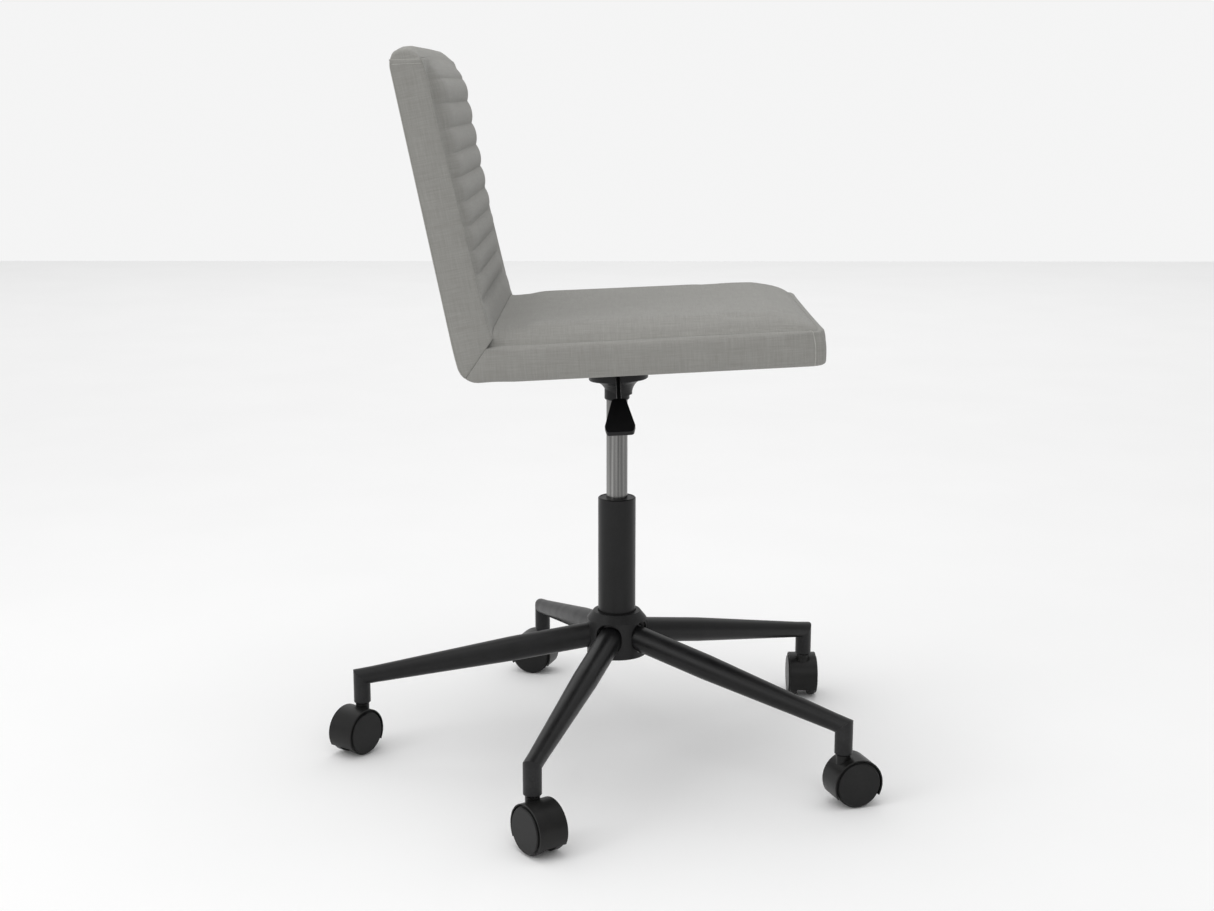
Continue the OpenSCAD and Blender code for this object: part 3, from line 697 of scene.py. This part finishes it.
def swell(piece, sewn, pressure, cap, frames=20):
    """Blows a padded skin up with Cloth, its seams held, no point further than about cap."""
    rest = np.array([v.co for v in piece.data.vertices])
    group = piece.vertex_groups.new(name="sewn")
    group.add([int(n) for n in sewn], 1.0, "REPLACE")
    cloth = piece.modifiers.new("pad", "CLOTH")
    s = cloth.settings
    s.quality = 4
    s.mass = 0.3
    s.tension_stiffness = s.compression_stiffness = 20
    s.shear_stiffness = 8
    s.bending_stiffness = 0.6
    s.use_pressure = True
    s.uniform_pressure_force = pressure
    s.vertex_group_mass = "sewn"
    s.effector_weights.gravity = 0
    cloth.point_cache.frame_start, cloth.point_cache.frame_end = 1, frames
    scene = bpy.context.scene
    for number in range(1, frames + 1):
        scene.frame_set(number)
    found = piece.evaluated_get(bpy.context.evaluated_depsgraph_get())
    moved = np.array([v.co for v in found.to_mesh().vertices])
    found.to_mesh_clear()
    piece.modifiers.remove(cloth)
    scene.frame_set(1)
    step = moved - rest
    length = np.linalg.norm(step, axis=1, keepdims=True)
    step *= cap * np.tanh(length / cap) / np.maximum(length, 1e-9)
    piece.data.vertices.foreach_set("co", (rest + step).astype(np.float32).ravel())
    piece.data.update()


def welt(name, points, radius, matrix, material):
    """A thin sewn ridge along a line of points: a closed tube with pinched ends."""
    keep = [0]
    for i in range(1, len(points)):
        if np.linalg.norm(points[i] - points[keep[-1]]) > WELT_SPACING * MM:
            keep.append(i)
    points = points[keep]
    ahead = np.gradient(points, axis=0)
    ahead /= np.linalg.norm(ahead, axis=1, keepdims=True)
    side = np.cross(ahead, WELT_ASIDE)
    side /= np.linalg.norm(side, axis=1, keepdims=True)
    other = np.cross(ahead, side)
    around = 8
    angle = np.linspace(0, 2 * math.pi, around + 1)[:-1]
    reach = np.full(len(points), radius * MM)
    reach[[0, -1]] *= WELT_PINCH
    rings = points[:, None] + reach[:, None, None] * (
        np.cos(angle)[None, :, None] * side[:, None]
        + np.sin(angle)[None, :, None] * other[:, None]
    )
    last = (len(points) - 1) * around
    faces = [list(range(around))[::-1]]
    for start in range(0, last, around):
        for k in range(around):
            a, b = start + k, start + (k + 1) % around
            faces.append([a, b, b + around, a + around])
    faces.append(list(range(last, last + around)))
    piece = mesh_object(name, rings.reshape(-1, 3), faces, matrix)
    piece.data.materials.append(material)
    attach(piece, "seat")


def where_is(piece, numbers):
    verts = piece.data.vertices
    return np.array([verts[int(n)].co for n in numbers])


def dress_cushion(piece, node, sewn, material):
    piece.data.materials.append(material)
    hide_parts(node)
    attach(piece, "seat")
    swell(piece, np.unique(sewn), pressure=4.0, cap=2.2 * MM)


def build_seat(material, thread):
    xs = spaced(2 * HALF, fine=1.0, coarse=7.0, edge=30) - HALF
    length = SEAT_CORNER[0] - SEAT_FRONT
    vs = spaced(length, fine=1.0, coarse=7.0, edge=30) / length
    ws = spaced(BOXING, fine=0.8, coarse=5.0, edge=9) / BOXING
    points, faces, number = box_grid(xs, vs, ws)
    verts = seat_shape(points) * MM
    piece = mesh_object("seat_upholstery", verts, outward(verts, faces), SEAT_FRAME)
    rim = np.concatenate([number[0, :, -1], number[-1, :, -1], number[:, -1, -1]])
    corners = np.concatenate([number[0, -1, :], number[-1, -1, :]])
    sewn = np.concatenate([number[:, :, 0].ravel(), number[:, 0, :].ravel(), rim, corners])
    dress_cushion(piece, "seat_cushion", sewn, material)
    around = np.concatenate([number[0, 1:, -1], number[1:, -1, -1], number[-1, -2:0:-1, -1]])
    welt("seat_top_seam", where_is(piece, around), 0.4, SEAT_FRAME, material)
    corner = int(np.abs(vs - (1 - CORNER_SEAM_AT / length)).argmin())
    for end, name in ((0, "right"), (-1, "left")):
        line = where_is(piece, number[end, corner, 1:])
        welt(f"seat_corner_seam_{name}", line, 0.7, SEAT_FRAME, thread)


def build_back(material, thread):
    xs = spaced(2 * HALF, fine=1.0, coarse=6.0, edge=30) - HALF
    rows = [0.0, 1, 2.2, 4, 7, 12, 18, 25, 33]
    lines = CHANNELS - BACK_LAP[1]
    for low in lines[:-1]:
        rows += [low + f * CHANNEL_PITCH for f in CHANNEL_STEPS]
    run = BACK_FRONT_TOP[1] - BACK_LAP[1]
    rows += [lines[-1] + f for f in (0, 0.9, 2.4, 4.7)]
    rows += [run - f for f in (15, 11, 7.5, 4.5, 2.2, 0.9, 0)]
    ts = np.array(rows) / run
    ds = spaced(BACK_THICK, fine=0.8, coarse=5.0, edge=9) / BACK_THICK
    points, faces, number = box_grid(xs, ts, ds)
    verts = back_shape(points) * MM
    piece = mesh_object("back_upholstery", verts, outward(verts, faces), BACK_FRAME)
    edges = [number[i, :, k] for i in (0, -1) for k in (0, -1)]
    edges += [number[i, -1, :] for i in (0, -1)] + [number[:, -1, k] for k in (0, -1)]
    side = HALF - np.abs(xs)
    for line in lines:
        row = int(np.abs(ts - line / run).argmin())
        edges.append(number[side > 60, row, -1])
    border = side[:, None] < rib_start(BACK_LAP[1] + ts * run)[None, :]
    edges.append(number[:, :, -1][border])
    sewn = np.concatenate([number[:, 0, :].ravel(), *edges])
    dress_cushion(piece, "back_cushion", sewn, material)
    right, left = slice(CORNER_COLUMNS), slice(-CORNER_COLUMNS, None)
    for end, name, near in ((0, "right", right), (-1, "left", left)):
        for k, place, radius, look in ((0, "rear", 0.6, thread), (-1, "front", 0.5, material)):
            line = where_is(piece, number[end, 1:, k])
            welt(f"back_{place}_seam_{name}", line, radius, BACK_FRAME, look)
        cap = where_is(piece, number[end, -1, :])
        welt(f"back_cap_seam_{name}", cap, 0.7, BACK_FRAME, thread)
        fell = where_is(piece, number[end, -4, 1:-1])
        welt(f"back_cap_stitching_{name}", fell, 0.4, BACK_FRAME, thread)
        over = where_is(piece, number[near, -1, -3])
        welt(f"back_corner_seam_{name}", over, 0.6, BACK_FRAME, material)
    rear = where_is(piece, number[:, -1, 0])
    welt("back_cap_seam_rear", rear, 0.9, BACK_FRAME, material)


# ---- light and floor ----


def add_area(name, place, aim, size, power):
    data = bpy.data.lights.new(name, "AREA")
    data.shape = "RECTANGLE"
    data.size, data.size_y = size
    data.energy = power
    light = bpy.data.objects.new(name, data)
    bpy.context.scene.collection.objects.link(light)
    light.location = place
    light.rotation_mode = "QUATERNION"
    light.rotation_quaternion = (Vector(aim) - Vector(place)).to_track_quat("-Z", "Y")


def add_studio():
    world = bpy.data.worlds.new("studio")
    world.use_nodes = True
    tree = world.node_tree
    seen = tree.nodes["Background"]
    seen.inputs["Color"].default_value = (1, 1, 1, 1)
    seen.inputs["Strength"].default_value = 0.91
    room = tree.nodes.new("ShaderNodeBackground")
    coord = tree.nodes.new("ShaderNodeTexCoord")
    slope = tree.nodes.new("ShaderNodeVectorMath")
    slope.operation = "DOT_PRODUCT"
    slope.inputs[1].default_value = (-0.05, 0.22, 0.30)
    level = tree.nodes.new("ShaderNodeMath")
    level.inputs[1].default_value = 0.72
    tree.links.new(coord.outputs["Generated"], slope.inputs[0])
    tree.links.new(slope.outputs["Value"], level.inputs[0])
    tree.links.new(level.outputs[0], room.inputs["Strength"])
    path = tree.nodes.new("ShaderNodeLightPath")
    mix = tree.nodes.new("ShaderNodeMixShader")
    tree.links.new(path.outputs["Is Camera Ray"], mix.inputs[0])
    tree.links.new(room.outputs[0], mix.inputs[1])
    tree.links.new(seen.outputs[0], mix.inputs[2])
    tree.links.new(mix.outputs[0], tree.nodes["World Output"].inputs["Surface"])
    bpy.context.scene.world = world
    bpy.context.scene.view_settings.view_transform = "Standard"
    add_area("top_box", (-0.2, 0.1, 2.7), (0, 0, 0.4), (2.0, 2.0), 16)
    add_area("left_box", (-1.5, 2.3, 1.9), (0, 0, 0.4), (1.0, 1.6), 10)
    add_area("camera_box", (-3.0, -0.9, 2.1), (0, 0, 0.4), (1.2, 1.2), 6)
    add_area("floor_box", (4.6, 0, 3.2), (4.6, 0, 0), (5.0, 7.0), 39)
    size = 14.0
    count = 8
    line = np.linspace(-size / 2, size / 2, count + 1)
    verts = [(x, y, 0.0) for x in line for y in line]
    faces = [
        (a, a + count + 1, a + count + 2, a + 1)
        for i in range(count)
        for a in range(i * (count + 1), i * (count + 1) + count)
    ]
    floor = mesh_object("floor", verts, faces, Matrix.Translation((0, 0, -0.0004)))
    n = Nodes("floor_paint")
    cloud = n.noise(n.object_place(), 3.0, 3.0)
    n.link(
        n.ramp(cloud, [(0.3, (0.955, 0.955, 0.955)), (0.7, (0.97, 0.97, 0.97))]),
        n.shader.inputs["Base Color"],
    )
    n.set(Roughness=1.0, Specular_IOR_Level=0.0)
    floor.data.materials.append(n.material)


def main():
    add_camera()
    materials = make_materials()
    dress_cad(materials)
    thread = fabric_thread()
    build_seat(materials["grey_fabric"], thread)
    build_back(materials["grey_fabric"], thread)
    add_studio()


main()
